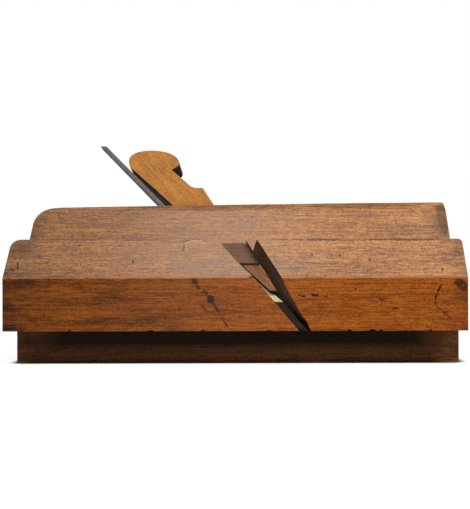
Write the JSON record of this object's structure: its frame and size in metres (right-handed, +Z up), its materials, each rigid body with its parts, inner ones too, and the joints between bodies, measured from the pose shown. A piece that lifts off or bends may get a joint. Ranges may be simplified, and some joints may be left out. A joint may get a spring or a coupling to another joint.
{
  "type": "moulding plane",
  "caption": "Wooden side-escapement moulding plane that leans at a spring angle, with a wedged iron in a skewed throat, a stepped grip and a fence along its sole.",
  "frame": {"origin": "middle of the flat foot of the fence, on the bench the plane stands on", "axes": "+X towards the toe, +Y away from the right-hand side that the shavings leave by, +Z up"},
  "size_m": [0.241, 0.0879, 0.1301],
  "materials": {
    "beech_stock": "oiled and waxed beech, worn and darkened by handling",
    "forged_iron": "forged and ground iron with a dull grey-brown patina",
    "beech_wedge": "beech, oiled, lighter than the stock",
    "beech_packing": "plain beech, dulled by shavings",
    "boxwood": "boxwood, polished by the work"
  },
  "bodies": {
    "stock": {"stock": "beech_stock", "iron_packing": "beech_packing", "boxing_heel": "boxwood", "boxing_toe": "boxwood"},
    "iron": {"iron": "forged_iron"},
    "wedge": {"wedge": "beech_wedge"}
  },
  "joints": [
    {"name": "wedge_slide", "type": "slide", "parent": "stock", "child": "wedge", "axis": [-0.6833, 0.3651, 0.6323], "range_m": [0, 0.095]},
    {"name": "iron_slide", "type": "slide", "parent": "stock", "child": "iron", "axis": [0.6833, -0.3651, -0.6323], "range_m": [0, 0.024]}
  ]
}
